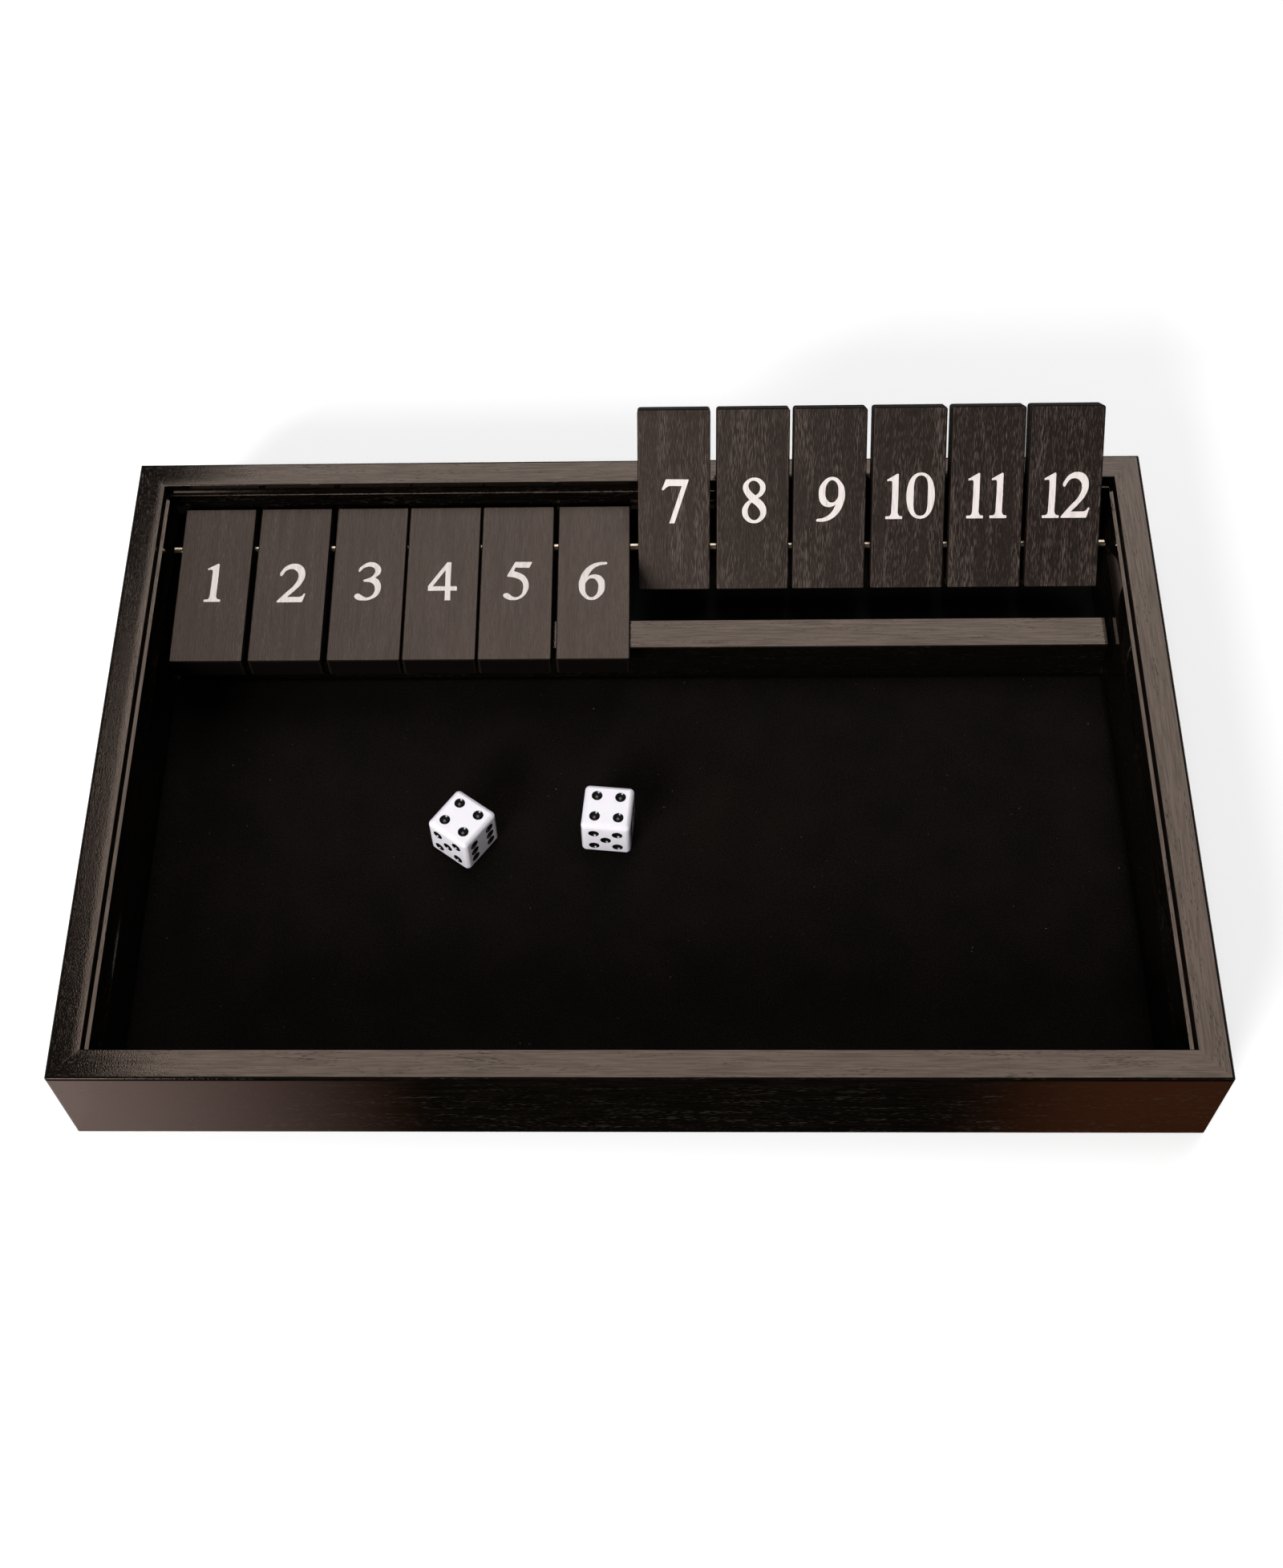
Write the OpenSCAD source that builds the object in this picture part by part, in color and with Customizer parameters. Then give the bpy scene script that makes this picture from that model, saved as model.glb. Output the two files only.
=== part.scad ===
// Shut the box: a shallow wooden tray with twelve numbered tiles on one rod, and two dice.
// X runs along the row of tiles, Y runs from the player towards the tiles, and Z is up.
// The origin is the centre of the tray's underside. All sizes are in millimetres.

/* [Rails] */
// Height of the four rails
rail_h = 40.5; // [38:0.5:60]
// Width of the flat lip on top of a rail
lip_w = 9.6; // [8:0.1:14]
// Height of the lip's upright inner face
lip_drop = 4; // [2:0.1:5]
// Width of the small step under the lip
step_w = 1.1; // [0.4:0.1:2]
// How far the step slopes down towards the inside
step_fall = 0.25; // [0.05:0.05:0.6]
// How far the hollow below the step sweeps in
hollow_w = 2.1; // [1.5:0.1:4]
// Height of the hollow
hollow_h = 6.8; // [5:0.1:7.5]
// Radius of the outer top arris and of the tray's upright corners
arris_r = 1; // [0.5:0.1:2]
// Radius of the lip's inner arris
lip_r = 0.4; // [0.2:0.1:0.8]

/* [Base] */
// Thickness of the base panel
base_t = 3.2; // [2.5:0.1:5]
// How far the base panel reaches under the rails
rebate_w = 6; // [4:0.5:8]
// Gap between the base panel's edge and the rebate
panel_clear = 0.2; // [0.1:0.05:0.4]
// Thickness of the felt lining
felt_t = 1; // [0.5:0.1:2]
// Gap between the felt's edges and what they meet
felt_clear = 0.3; // [0.2:0.1:0.8]
// Depth of the play area, from the front rail to the stop bar
play_d = 151.4; // [120:0.1:220]

/* [Stop bar] */
// Width of the stop bar
bar_w = 11.7; // [8:0.1:20]
// Height of the stop bar above the base panel
bar_h = 17.3; // [14:0.1:18.5]
// Radius of the bar's two top arrises
bar_r = 0.6; // [0.3:0.1:1.5]
// Gap between each end of the bar and the side rail
bar_clear = 1.4; // [0.1:0.1:2]

/* [Tiles] */
// Width of a tile, along the rod
tile_w = 24.5; // [20:0.1:30]
// Length of a tile
tile_l = 61; // [56:0.5:70]
// Thickness of a tile
tile_t = 9; // [7:0.1:10]
// Distance from the rod's axis to the tile's short end
tile_tail = 14; // [11:0.1:17]
// Radius of a tile's arrises
tile_r = 0.4; // [0.2:0.1:1.2]
// Radius of a tile's four corners, seen from above
tile_corner = 1.1; // [0.4:0.1:3]
// Even gap between neighbouring tiles, and between a side rail and its tile
tile_gap = 1.8; // [1:0.1:4]
// How far a shut tile reaches past the bar, for a fingertip
finger_reach = 9.9; // [6:0.1:14]
// Gap between a tile's swinging short end and the back rail
swing_clear = 0.35; // [0.3:0.05:3]
// Gap between a resting tile and the bar or the rail it lies against
rest_gap = 0.1; // [0.05:0.05:0.3]

/* [Rod] */
// Diameter of the hinge rod
rod_d = 3.2; // [2.4:0.1:4]
// Height of the rod's axis above the tray's underside
rod_z = 27.5; // [25:0.5:28]
// Depth of the rod's blind hole in each side rail
rod_seat = 6; // [3:0.5:9]
// Radial clearance of the rod in a side rail
rod_fit = 0.03; // [0.01:0.01:0.1]
// Radial clearance of the rod in a tile
tile_fit = 0.08; // [0.03:0.01:0.1]
// Gap between each end of the rod and the bottom of its hole
rod_end_clear = 0.2; // [0.1:0.1:1]

/* [Dice] */
// Edge length of a die
die = 16; // [12:0.5:20]
// Radius of a die's edges
die_r = 1.6; // [1:0.1:3]
// Diameter of the ball that rounds a die's corners, as a share of its edge length
die_ball = 1.55; // [1.45:0.01:1.7]
// Diameter of a pip at the surface
pip_d = 3.5; // [2:0.1:3.7]
// Depth of a pip
pip_depth = 1; // [0.3:0.1:1.2]
// Distance from a face's centre to an outer pip, along the edges
pip_out = 3.8; // [3:0.1:4]

/* [Hidden] */
$fn = 64;

// A cut starts this far outside the solid that it cuts
past = 1;

// Tiles: how many, the first one that stands raised, and how far each has slid along the rod
// from its even place, as a share of the gap
tile_count = 12;
first_raised = 7;
slide = [0.8, 0.8, 0.85, 0.2, -0.45, -0.6, -0.1, 0.05, -0.25, -0.15, -0.25, -0.4];

// Where the dice lie in the play area, from its front middle, and how they are turned
die_left_at = [-55.9, 86.2];
die_left_turn = -36.5;
die_right_at = [-9, 90];
die_right_turn = -5.5;

// Rail thickness below the moulding, and the radius that starts the hollow upright at the step
rail_t = lip_w + step_w + hollow_w;
hollow_r = (pow(hollow_w, 2) + pow(hollow_h, 2)) / (2 * hollow_w);
lip_foot = rail_h - lip_drop;
hollow_top = lip_foot - step_fall;
hollow_foot = hollow_top - hollow_h;

// A tile's short end sweeps this radius about the rod
swing_r = norm([tile_tail - tile_r, tile_t / 2 - tile_r]) + tile_r;

// The inside of the tray: its width from the row of tiles, its depth from what lies along Y
inner_w = tile_count * tile_w + (tile_count + 1) * tile_gap;
bar_to_rod = tile_l - tile_tail - finger_reach;
rod_to_back = swing_r + swing_clear;
inner_d = play_d + bar_to_rod + rod_to_back;
tray_w = inner_w + 2 * rail_t;
tray_d = inner_d + 2 * rail_t;
front_y = -inner_d / 2;
bar_y = front_y + play_d;
rod_y = bar_y + bar_to_rod;

// Shut: the tile's underside lies on the bar's front top arris, so its front end dips by this angle
shut_ahead = bar_to_rod - bar_r;
shut_below = rod_z - (base_t + bar_h - bar_r);
shut_dip = atan2(shut_below, shut_ahead)
    - asin((tile_t / 2 + bar_r + rest_gap) / norm([shut_ahead, shut_below]));

// Raised: the tile's back lies on the inner arris of the back rail's lip, so it leans by this angle
lean_back = rod_to_back + rail_t - lip_w + lip_r;
lean_up = rail_h - lip_r - rod_z;
raised_lean = acos((tile_t / 2 + lip_r + rest_gap) / norm([lean_back, lean_up]))
    - atan2(lean_up, lean_back);

// The turn about the rod from shut to raised, which is every tile's travel
tile_travel = shut_dip + 90 + raised_lean;
echo(tray = [tray_w, tray_d, rail_h], rod = [0, rod_y, rod_z], shut_dip = shut_dip,
    raised_lean = raised_lean, tile_travel = tile_travel, swing_r = swing_r);

wood = "#2b2521";
tile_wood = "#3a322d";

// A rectangle with rounded corners, its lower left corner at the origin
module rounded_rect(size, r) {
    translate([r, 0]) square([size[0] - 2 * r, size[1]]);
    translate([0, r]) square([size[0], size[1] - 2 * r]);
    for (x = [r, size[0] - r], y = [r, size[1] - r]) translate([x, y]) circle(r);
}

// What easing a square corner at the origin takes away, for a corner that points to +X and +Y
module corner_waste(r) {
    translate([-r, -r]) difference() {
        square(r + past);
        circle(r);
    }
}

// A block of three rounded outlines, centred on the origin: its arrises have radius r, and its corners
// seen from above have radius corner
module eased_block(size, r, corner) {
    intersection() {
        translate([0, 0, -size[2] / 2]) linear_extrude(size[2])
            translate([-size[0] / 2, -size[1] / 2]) rounded_rect([size[0], size[1]], corner);
        translate([-size[0] / 2, 0, 0]) rotate([90, 0, 90]) linear_extrude(size[0])
            translate([-size[1] / 2, -size[2] / 2]) rounded_rect([size[1], size[2]], r);
        translate([0, size[1] / 2, 0]) rotate([90, 0, 0]) linear_extrude(size[1])
            translate([-size[0] / 2, -size[2] / 2]) rounded_rect([size[0], size[2]], r);
    }
}

// Section of a rail: X runs inwards from the outer face, Y runs up
module rail_section() {
    difference() {
        square([rail_t, rail_h]);
        // The recess inside the lip, down to the sloping step
        polygon([[lip_w, lip_foot], [lip_w, rail_h + past], [rail_t + past, rail_h + past],
            [rail_t + past, hollow_top], [lip_w + step_w, hollow_top]]);
        // The hollow, upright under the step and sweeping in to the wall below
        intersection() {
            translate([lip_w + step_w + hollow_r, hollow_top]) circle(hollow_r, $fn = 180);
            translate([lip_w + step_w, hollow_foot]) square([hollow_w + past, hollow_h + past]);
        }
        // The rebate that holds the base panel
        translate([rail_t - rebate_w, -past]) square([rebate_w + past, base_t + past]);
        // The eased arrises
        translate([0, rail_h]) mirror([1, 0]) corner_waste(arris_r);
        translate([lip_w, rail_h]) corner_waste(lip_r);
    }
}

// One rail of the given length, mitred at both ends, with its outer face on the X axis
module mitred_rail(length) {
    mitre = rail_t + past;
    intersection() {
        translate([-length / 2, 0, 0]) rotate([90, 0, 90]) linear_extrude(length) rail_section();
        linear_extrude(rail_h) polygon([[-length / 2, 0], [length / 2, 0],
            [length / 2 - mitre, mitre], [-length / 2 + mitre, mitre]]);
        linear_extrude(rail_h) translate([-length / 2, 0]) rounded_rect([length, 2 * mitre], arris_r);
    }
}

// The blind hole for the rod's end, in the side rail on the given side
module rod_hole(side) {
    translate([side * (inner_w / 2 - past), rod_y, rod_z]) rotate([0, side * 90, 0])
        cylinder(h = rod_seat + past, r = rod_d / 2 + rod_fit);
}

module front_rail() {
    color(wood) translate([0, -tray_d / 2, 0]) mitred_rail(tray_w);
}

module back_rail() {
    color(wood) rotate(180) translate([0, -tray_d / 2, 0]) mitred_rail(tray_w);
}

module left_rail() {
    color(wood) difference() {
        rotate(-90) translate([0, -tray_w / 2, 0]) mitred_rail(tray_d);
        rod_hole(-1);
    }
}

module right_rail() {
    color(wood) difference() {
        rotate(90) translate([0, -tray_w / 2, 0]) mitred_rail(tray_d);
        rod_hole(1);
    }
}

module base_panel() {
    panel = [inner_w, inner_d] + 2 * (rebate_w - panel_clear) * [1, 1];
    color("#1c1815") translate(-panel / 2) cube([panel[0], panel[1], base_t]);
}

module felt_lining() {
    color("#120f0d") translate([-inner_w / 2 + felt_clear, front_y + felt_clear, base_t])
        cube([inner_w - 2 * felt_clear, play_d - 2 * felt_clear, felt_t]);
}

module stop_bar() {
    color(wood) translate([-inner_w / 2 + bar_clear, bar_y, base_t]) rotate([90, 0, 90])
        linear_extrude(inner_w - 2 * bar_clear) difference() {
            square([bar_w, bar_h]);
            translate([bar_w, bar_h]) corner_waste(bar_r);
            translate([0, bar_h]) mirror([1, 0]) corner_waste(bar_r);
        }
}

module hinge_rod() {
    rod_l = inner_w + 2 * (rod_seat - rod_end_clear);
    color("#c9c2b8") translate([-rod_l / 2, rod_y, rod_z]) rotate([0, 90, 0])
        cylinder(h = rod_l, d = rod_d);
}

// Tile number n, shut or raised on the rod
module tile(n) {
    turn = n < first_raised ? shut_dip : -90 - raised_lean;
    even_x = (n - (tile_count + 1) / 2) * (tile_w + tile_gap);
    color(tile_wood) translate([even_x + slide[n - 1] * tile_gap, rod_y, rod_z]) rotate([turn, 0, 0])
        difference() {
            translate([0, tile_tail - tile_l / 2, 0])
                eased_block([tile_w, tile_l, tile_t], tile_r, tile_corner);
            translate([-tile_w / 2 - past, 0, 0]) rotate([0, 90, 0])
                cylinder(h = tile_w + 2 * past, r = rod_d / 2 + tile_fit);
        }
}

// The pips of one face, as places in the face's plane
function pips(n) = let (a = pip_out)
    n == 1 ? [[0, 0]] :
    n == 2 ? [[-a, -a], [a, a]] :
    n == 3 ? concat(pips(1), pips(2)) :
    n == 4 ? concat(pips(2), [[-a, a], [a, -a]]) :
    n == 5 ? concat(pips(1), pips(4)) :
    concat(pips(4), [[-a, 0], [a, 0]]);

// The balls that hollow out the pips of one face, for a face that looks along +Z
module pip_balls(n) {
    ball_r = (pow(pip_d / 2, 2) + pow(pip_depth, 2)) / (2 * pip_depth);
    for (p = pips(n)) translate([p[0], p[1], die / 2 - pip_depth + ball_r]) sphere(ball_r, $fn = 32);
}

// A die with four on top, five in front and six on the right, standing on the XY plane
module die_body() {
    faces = [[4, [0, 0, 0]], [3, [180, 0, 0]], [5, [90, 0, 0]], [2, [-90, 0, 0]],
        [6, [90, 0, 90]], [1, [90, 0, -90]]];
    translate([0, 0, die / 2]) difference() {
        intersection() {
            eased_block([die, die, die], die_r, die_r);
            sphere(d = die * die_ball, $fn = 96);
        }
        for (f = faces) rotate(f[1]) pip_balls(f[0]);
    }
}

module die_at(place, turn) {
    color("#f2efec") translate([place[0], front_y + place[1], base_t + felt_t]) rotate(turn) die_body();
}

module die_left() {
    die_at(die_left_at, die_left_turn);
}

module die_right() {
    die_at(die_right_at, die_right_turn);
}

front_rail();
back_rail();
left_rail();
right_rail();
base_panel();
felt_lining();
stop_bar();
hinge_rod();
tile(1);  // tile_1
tile(2);  // tile_2
tile(3);  // tile_3
tile(4);  // tile_4
tile(5);  // tile_5
tile(6);  // tile_6
tile(7);  // tile_7
tile(8);  // tile_8
tile(9);  // tile_9
tile(10);  // tile_10
tile(11);  // tile_11
tile(12);  // tile_12
die_left();
die_right();
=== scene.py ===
"""The looks of the shut the box game: a lacquered tray with a felt play area, twelve numbered tiles on a rod,
and two dice."""

import math

import bmesh
import bpy
from mathutils import Euler, Matrix, Vector


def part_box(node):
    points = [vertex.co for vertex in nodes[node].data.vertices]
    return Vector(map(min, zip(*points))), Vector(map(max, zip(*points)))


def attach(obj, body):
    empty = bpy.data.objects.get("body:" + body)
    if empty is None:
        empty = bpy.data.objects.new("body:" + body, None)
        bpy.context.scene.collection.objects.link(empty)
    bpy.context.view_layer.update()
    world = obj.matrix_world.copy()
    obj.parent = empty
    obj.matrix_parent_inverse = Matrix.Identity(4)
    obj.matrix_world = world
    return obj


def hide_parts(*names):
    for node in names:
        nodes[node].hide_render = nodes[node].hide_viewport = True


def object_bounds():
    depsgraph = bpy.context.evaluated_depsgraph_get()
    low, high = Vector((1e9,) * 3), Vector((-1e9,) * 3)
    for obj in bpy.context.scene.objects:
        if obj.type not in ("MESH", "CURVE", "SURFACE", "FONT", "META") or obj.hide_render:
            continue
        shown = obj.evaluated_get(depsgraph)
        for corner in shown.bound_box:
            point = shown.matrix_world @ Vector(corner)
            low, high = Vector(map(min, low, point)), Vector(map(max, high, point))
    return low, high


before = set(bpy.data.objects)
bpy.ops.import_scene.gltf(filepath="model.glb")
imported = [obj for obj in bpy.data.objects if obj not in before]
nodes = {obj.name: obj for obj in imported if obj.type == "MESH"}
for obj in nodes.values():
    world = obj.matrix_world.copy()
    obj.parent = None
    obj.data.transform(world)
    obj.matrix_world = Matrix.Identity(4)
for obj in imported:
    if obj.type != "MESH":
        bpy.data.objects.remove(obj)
cad_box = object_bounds()

# Tray rails: four lengths of one moulding in open-pored hardwood, mitred and glued at the corners,
# stained black and given a thin coat of satin lacquer that doesn't fill the pores.
MM = 0.001
OUTER_X, OUTER_Y = cad_box[1][0], -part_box("front_rail")[0].y
MITRE_OFFSET = OUTER_X - OUTER_Y  # |x| - |y| along the mitres
TRAY_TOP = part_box("front_rail")[1].z
LIP_W, LIP_FALL_W = 9.6 * MM, 3.0 * MM  # the flat lip on top, and the part of it that falls away inwards
# The tray's ends, as far in as the outer sides are coloured lighter and browner as a painted reflection: from none at
# the first x to most at the second
LEFT_END, RIGHT_END = (-0.06, -0.165), (0.08, 0.15)


def linear(hex_colour):
    """The linear colour of an sRGB hex value."""
    parts = [int(hex_colour[i:i + 2], 16) / 255 for i in (1, 3, 5)]
    return [c / 12.92 if c <= 0.04045 else ((c + 0.055) / 1.055) ** 2.4 for c in parts] + [1]


def add(tree, kind, inputs=None, **settings):
    """Adds a node. inputs gives a value, or the socket that feeds it, for each input by name or place."""
    made = tree.nodes.new(kind)
    for name, value in settings.items():
        setattr(made, name, value)
    for place, value in (inputs or {}).items():
        if isinstance(value, bpy.types.NodeSocket):
            tree.links.new(value, made.inputs[place])
        else:
            made.inputs[place].default_value = value
    return made


def new_material(name):
    """An empty material, its node tree, the output that its shader goes to, and a point's place on the piece."""
    material = bpy.data.materials.new(name)
    material.use_nodes = True
    tree = material.node_tree
    tree.nodes.clear()
    output = add(tree, "ShaderNodeOutputMaterial")
    return material, tree, output, add(tree, "ShaderNodeTexCoord").outputs["Object"]


def finish_node(name, material):
    """Gives a CAD node its finish."""
    nodes[name].data.materials.clear()
    nodes[name].data.materials.append(material)


def drawn_out(tree, along, scale, **settings):
    """Noise drawn out along the grain: scale is how many of its grains fill a metre along x, y and z."""
    stretched = add(tree, "ShaderNodeMapping", {"Vector": along, "Scale": scale}).outputs[0]
    return add(tree, "ShaderNodeTexNoise", {"Vector": stretched, "Scale": 1.0, **settings}).outputs[0]


def open_pores(tree, along, scale, width, rim):
    """Pores drawn out along the grain. Their width and soft rim are shares of a cell, and scale is as above."""
    stretched = add(tree, "ShaderNodeMapping", {"Vector": along, "Scale": scale}).outputs[0]
    cells = add(tree, "ShaderNodeTexVoronoi", {"Vector": stretched, "Scale": 1.0}).outputs["Distance"]
    inside = add(tree, "ShaderNodeMath", {0: width, 1: cells}, operation="SUBTRACT").outputs[0]
    return add(tree, "ShaderNodeMapRange", {"Value": inside, "From Min": 0.0, "From Max": rim}).outputs[0]


def lacquered_wood(name, quarter_turns, shift):
    """Open-pored hardwood, stained black under a thin lacquer: warm grey where it mirrors a light, almost black
    elsewhere. Straight pores along the grain break the gloss, and on the outer sides they hold pale dust."""
    material, tree, output, here = new_material(name)
    along = add(tree, "ShaderNodeMapping", {
        "Vector": here, "Location": shift, "Rotation": (0, 0, quarter_turns * math.pi / 2)}).outputs[0]
    # Pores up to 3.5 mm long and 0.25 mm wide, crowded in drifts some 25 mm long
    drift = drawn_out(tree, along, (40, 330, 330), Detail=2.0)
    crowding = add(tree, "ShaderNodeMapRange", {
        "Value": drift, "From Min": 0.32, "From Max": 0.72, "To Min": 0.08, "To Max": 0.4}).outputs[0]
    pores = open_pores(tree, along, (250, 3500, 3500), crowding, 0.16)
    # Fibres 0.3 mm wide, and growth bands 1 to 4 mm wide that are just felt through the lacquer
    fibres = drawn_out(tree, along, (110, 3000, 3000), Detail=2.0)
    bands = drawn_out(tree, along, (14, 420, 420), Detail=3.0, Distortion=0.4)
    # How far a point lies inside the outermost faces of the tray
    parts = add(tree, "ShaderNodeSeparateXYZ", {0: here}).outputs
    across = add(tree, "ShaderNodeMath", {0: parts[0]}, operation="ABSOLUTE").outputs[0]
    depth = add(tree, "ShaderNodeMath", {0: parts[1]}, operation="ABSOLUTE").outputs[0]
    beyond = [add(tree, "ShaderNodeMath", {0: v, 1: limit}, operation="SUBTRACT").outputs[0]
              for v, limit in ((across, OUTER_X), (depth, OUTER_Y))]
    furthest = add(tree, "ShaderNodeMath", {0: beyond[0], 1: beyond[1]}, operation="MAXIMUM").outputs[0]
    outer = add(tree, "ShaderNodeMapRange", {
        "Value": furthest, "From Min": -0.6 * MM, "From Max": -0.2 * MM}).outputs[0]
    # The stain, with a lighter brown painted on the outer sides near the tray's ends: painted reflection, standing in
    # for the light that those ends mirror
    streaks = add(tree, "ShaderNodeMapRange", {"Value": fibres, "From Min": 0.4, "From Max": 0.7}).outputs[0]
    stain = add(tree, "ShaderNodeMix", {
        0: streaks, 6: linear("#040302"), 7: linear("#0c0907")}, data_type="RGBA").outputs[2]
    left_end = add(tree, "ShaderNodeMapRange", {
        "Value": parts[0], "From Min": LEFT_END[1], "From Max": LEFT_END[0], "To Min": 1.0, "To Max": 0.0}).outputs[0]
    right_end = add(tree, "ShaderNodeMapRange", {
        "Value": parts[0], "From Min": RIGHT_END[0], "From Max": RIGHT_END[1], "To Max": 0.55},
        interpolation_type="SMOOTHERSTEP").outputs[0]
    # How much painted reflection each end of the outer sides gets
    thin = add(tree, "ShaderNodeMath", {0: left_end, 1: right_end}, operation="MAXIMUM").outputs[0]
    below = add(tree, "ShaderNodeMapRange", {
        "Value": parts[2], "From Min": TRAY_TOP - 1.2 * MM, "From Max": TRAY_TOP - 0.8 * MM,
        "To Min": 1.0, "To Max": 0.0}).outputs[0]
    side = add(tree, "ShaderNodeMath", {0: outer, 1: below}, operation="MULTIPLY").outputs[0]
    painted_end_light = add(tree, "ShaderNodeMath", {0: thin, 1: side}, operation="MULTIPLY").outputs[0]
    # The painted reflection, mixed into the stain
    stain = add(tree, "ShaderNodeMix", {0: painted_end_light, 6: stain, 7: linear("#331a0d")}, data_type="RGBA").outputs[2]
    # The dust that the outer sides hold in their pores: none within 2 mm of the top edge, and more of it towards the
    # foot
    dust = add(tree, "ShaderNodeMix", {
        0: outer, 6: linear("#0a0605"), 7: linear("#37322e")}, data_type="RGBA").outputs[2]
    low = add(tree, "ShaderNodeMapRange", {
        "Value": parts[2], "From Min": TRAY_TOP - 2 * MM, "From Max": 0.0}).outputs[0]
    more_towards_foot = add(tree, "ShaderNodeMath", {0: low, 1: 0.4}, operation="POWER").outputs[0]
    kept = add(tree, "ShaderNodeMix", {0: outer, 2: 1.0, 3: more_towards_foot}).outputs[0]
    full_pores = add(tree, "ShaderNodeMath", {0: pores, 1: kept}, operation="MULTIPLY").outputs[0]
    dusted = add(tree, "ShaderNodeMix", {0: full_pores, 6: stain, 7: dust}, data_type="RGBA").outputs[2]
    # The glue line of a mitre, 0.3 mm wide
    gap = add(tree, "ShaderNodeMath", {0: across, 1: depth}, operation="SUBTRACT").outputs[0]
    off_line = add(tree, "ShaderNodeMath", {0: gap, 1: MITRE_OFFSET}, operation="SUBTRACT").outputs[0]
    distance = add(tree, "ShaderNodeMath", {0: off_line}, operation="ABSOLUTE").outputs[0]
    mitre = add(tree, "ShaderNodeMapRange", {
        "Value": distance, "From Min": 0.1 * MM, "From Max": 0.3 * MM, "To Min": 1.0, "To Max": 0.0}).outputs[0]
    colour = add(tree, "ShaderNodeMix", {0: mitre, 6: dusted, 7: linear("#050302")}, data_type="RGBA").outputs[2]
    # The lacquer has an orange peel of 0.6 mm, sinks at pores and mitres, and falls away towards the lip's edge
    peel = add(tree, "ShaderNodeTexNoise", {"Vector": along, "Scale": 2300.0, "Detail": 1.0}).outputs[0]
    lay = add(tree, "ShaderNodeMath", {0: bands, 1: 0.25, 2: peel}, operation="MULTIPLY_ADD").outputs[0]
    pitted = add(tree, "ShaderNodeMath", {0: pores, 1: -0.4, 2: lay}, operation="MULTIPLY_ADD").outputs[0]
    sunken = add(tree, "ShaderNodeMath", {0: mitre, 1: -0.2, 2: pitted}, operation="MULTIPLY_ADD").outputs[0]
    lip_edge = add(tree, "ShaderNodeMapRange", {
        "Value": furthest, "From Min": -LIP_W, "From Max": LIP_FALL_W - LIP_W,
        "To Min": 1.0, "To Max": 0.0}).outputs[0]
    falling = add(tree, "ShaderNodeMath", {0: lip_edge, 1: 2.0}, operation="POWER").outputs[0]
    relief = add(tree, "ShaderNodeMath", {0: falling, 1: -3.3, 2: sunken}, operation="MULTIPLY_ADD").outputs[0]
    bump = add(tree, "ShaderNodeBump", {"Height": relief, "Distance": 0.012 * MM}).outputs[0]
    dull = add(tree, "ShaderNodeMapRange", {"Value": bands, "To Min": 0.02, "To Max": 0.05}).outputs[0]
    roughness = add(tree, "ShaderNodeMix", {0: pores, 2: dull, 3: 0.6}).outputs[0]
    # The gloss follows the fibres. The outer sides were sprayed thinly and have none, except where the spray
    # began, at the left end, below the arris
    combed_gloss = add(tree, "ShaderNodeMapRange", {
        "Value": fibres, "From Min": 0.35, "From Max": 0.65, "To Min": 0.57, "To Max": 0.36}).outputs[0]
    sprayed = add(tree, "ShaderNodeMath", {0: left_end, 1: 2.3}, operation="POWER").outputs[0]
    thinly = add(tree, "ShaderNodeMath", {0: sprayed, 1: 0.09}, operation="MULTIPLY").outputs[0]
    outside = add(tree, "ShaderNodeMath", {0: thinly, 1: below}, operation="MULTIPLY").outputs[0]
    gloss = add(tree, "ShaderNodeMix", {0: outer, 2: combed_gloss, 3: outside}).outputs[0]
    shader = add(tree, "ShaderNodeBsdfPrincipled", {
        "Base Color": colour, "Roughness": roughness, "Normal": bump, "IOR": 1.5,
        "Specular IOR Level": gloss, "Specular Tint": (1.0, 0.76, 0.62, 1.0)})
    tree.links.new(shader.outputs[0], output.inputs[0])
    return material


# The grain runs along each rail: along x, or a quarter turn round. Each is another length of timber, so its
# grain starts elsewhere
for side, quarter_turns, shift in (("front", 0, (0, 0, 0)), ("back", 0, (0.31, 0.17, 0.05)),
                                   ("left", 1, (0.12, 0.43, 0.11)), ("right", 1, (0.57, 0.29, 0.23))):
    finish_node(side + "_rail", lacquered_wood("lacquered_wood_" + side, quarter_turns, shift))

# Base panel: thin board let into the rebates under the rails, flush with their undersides,
# and painted black on both faces with a thin matt coat.


def painted_board(name):
    """Thin board under matt black paint: flat and dark, with a faint roller stipple of 1 mm, in patches of 50 mm."""
    material, tree, output, here = new_material(name)
    stipple = add(tree, "ShaderNodeTexNoise", {"Vector": here, "Scale": 1100.0, "Detail": 2.0}).outputs[0]
    patches = add(tree, "ShaderNodeTexNoise", {"Vector": here, "Scale": 22.0, "Detail": 3.0}).outputs[0]
    colour = add(tree, "ShaderNodeMix", {
        0: patches, 6: linear("#0b0806"), 7: linear("#130e0b")}, data_type="RGBA").outputs[2]
    roughness = add(tree, "ShaderNodeMapRange", {"Value": patches, "To Min": 0.55, "To Max": 0.75}).outputs[0]
    bump = add(tree, "ShaderNodeBump", {"Height": stipple, "Distance": 0.05 * MM}).outputs[0]
    shader = add(tree, "ShaderNodeBsdfPrincipled", {
        "Base Color": colour, "Roughness": roughness, "Normal": bump, "Specular IOR Level": 0.3})
    tree.links.new(shader.outputs[0], output.inputs[0])
    return material


finish_node("base_panel", painted_board("painted_board"))

# Play area lining: black felt of pressed wool and viscose, 1 mm thick, cut to the play area
# and glued down to the base panel. Its nap is short, and a few pale bits of lint lie on it.
SNUG = Vector((0.25 * MM, 0.25 * MM, 0))  # the felt is pressed up to the walls, across the clearance of its solid
FELT_LOW, FELT_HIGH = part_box("felt_lining")[0] - SNUG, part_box("felt_lining")[1] + SNUG
FELT_STEP = 2.2 * MM  # between the points of its mesh
FELT_UNEVEN, FELT_EDGE_FALL, FELT_EDGE_W = 0.07 * MM, 0.35 * MM, 1.2 * MM
NAP_INSET, NAP_SINK = 2.5 * MM, 0.1 * MM  # where fibres lie, in from the felt's edges and below its full thickness


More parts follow.
